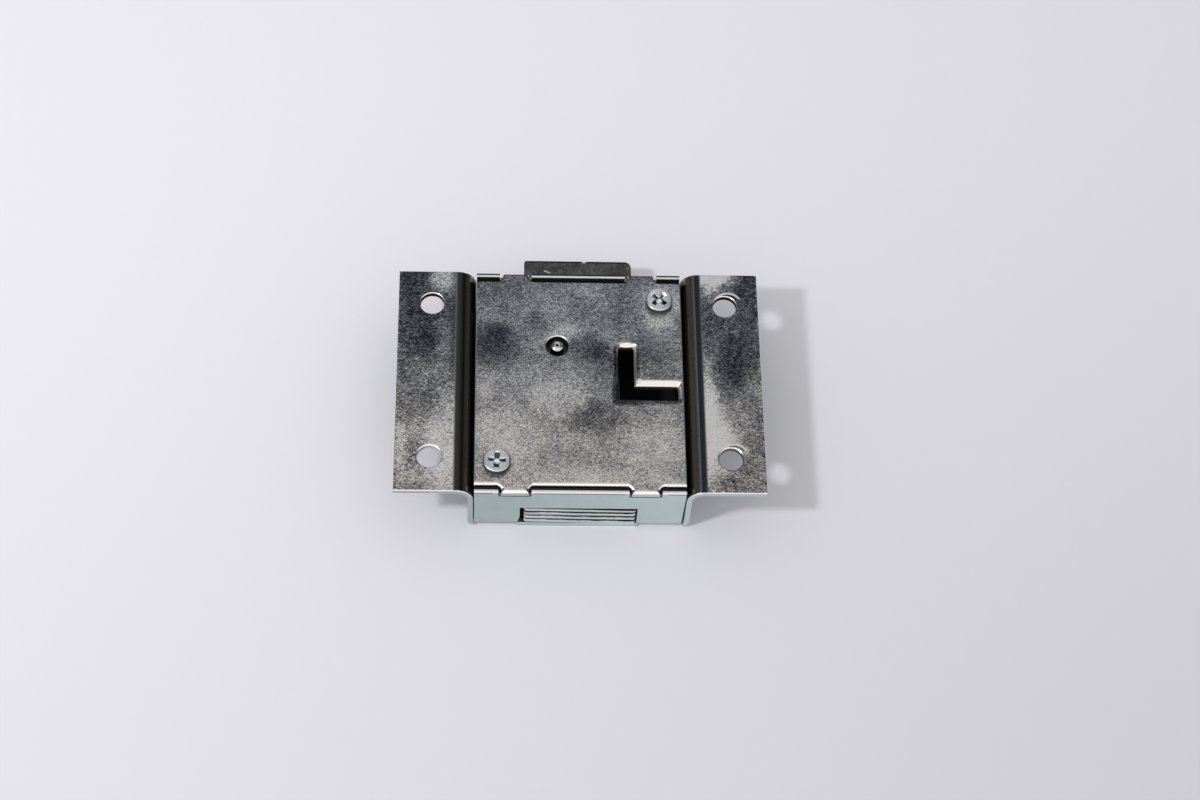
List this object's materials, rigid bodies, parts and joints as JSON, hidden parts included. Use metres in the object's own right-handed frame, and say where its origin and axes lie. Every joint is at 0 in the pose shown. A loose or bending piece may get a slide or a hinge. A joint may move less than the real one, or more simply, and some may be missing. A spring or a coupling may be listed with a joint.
{
  "type": "cabinet lock",
  "caption": "Surface-mounted lever cabinet lock: folded steel case with two drilled flanges, screwed cap with an L-shaped keyhole and a laminated sliding bolt.",
  "frame": {"origin": "centre of the case's underside, on the middle of the folded case", "axes": "+X from the left flange to the right flange, +Y the way the bolt is thrown, +Z from the base to the cap with the keyhole"},
  "size_m": [0.08, 0.0642, 0.0163],
  "materials": {
    "zinc_case": "zinc-plated folded sheet with a fine mottled grain",
    "zinc_cap": "zinc-plated sheet with a fine mottled grain and bright rolled edges",
    "zinc_screw": "bright zinc",
    "turned_steel": "turned steel",
    "bolt_steel": "dark blanked steel plates",
    "lever_steel": "blanked steel",
    "spring_steel": "spring steel strip"
  },
  "bodies": {
    "case_body": {"case": "zinc_case", "cap": "zinc_cap", "pillar_near": "turned_steel", "pillar_far": "turned_steel", "cap_screw_near": "zinc_screw", "cap_screw_far": "zinc_screw", "lever_post": "turned_steel", "lever_washer": "turned_steel"},
    "bolt": {"bolt_plate_1": "bolt_steel", "bolt_plate_2": "bolt_steel", "bolt_plate_3": "bolt_steel", "bolt_plate_4": "bolt_steel", "bolt_rivet_1": "turned_steel", "bolt_rivet_2": "turned_steel", "bolt_rivet_3": "turned_steel", "bolt_rivet_4": "turned_steel", "bolt_stump": "turned_steel"},
    "lever_1_body": {"lever_1": "lever_steel", "lever_spring_1": "spring_steel"},
    "lever_2_body": {"lever_2": "lever_steel", "lever_spring_2": "spring_steel"},
    "lever_3_body": {"lever_3": "lever_steel", "lever_spring_3": "spring_steel"},
    "lever_4_body": {"lever_4": "lever_steel", "lever_spring_4": "spring_steel"}
  },
  "joints": [
    {"name": "bolt_slide", "type": "slide", "parent": "case_body", "child": "bolt", "axis": [0, 1, 0], "range_m": [-0.008, 0]},
    {"name": "lever_1_pivot", "type": "hinge", "parent": "case_body", "child": "lever_1_body", "pos_m": [-0.0048, 0.009, 0], "axis": [0, 0, 1], "range_deg": [-5, 0], "deforming": ["lever_spring_1"]},
    {"name": "lever_2_pivot", "type": "hinge", "parent": "case_body", "child": "lever_2_body", "pos_m": [-0.0048, 0.009, 0], "axis": [0, 0, 1], "range_deg": [-4.2, 0], "deforming": ["lever_spring_2"]},
    {"name": "lever_3_pivot", "type": "hinge", "parent": "case_body", "child": "lever_3_body", "pos_m": [-0.0048, 0.009, 0], "axis": [0, 0, 1], "range_deg": [-4.6, 0], "deforming": ["lever_spring_3"]},
    {"name": "lever_4_pivot", "type": "hinge", "parent": "case_body", "child": "lever_4_body", "pos_m": [-0.0048, 0.009, 0], "axis": [0, 0, 1], "range_deg": [-3.8, 0], "deforming": ["lever_spring_4"]}
  ],
  "couplings": [
    {"joint": "lever_1_pivot", "follows": "bolt_slide", "rad_per_m": 10.908},
    {"joint": "lever_2_pivot", "follows": "bolt_slide", "rad_per_m": 9.162},
    {"joint": "lever_3_pivot", "follows": "bolt_slide", "rad_per_m": 10.035},
    {"joint": "lever_4_pivot", "follows": "bolt_slide", "rad_per_m": 8.29}
  ]
}
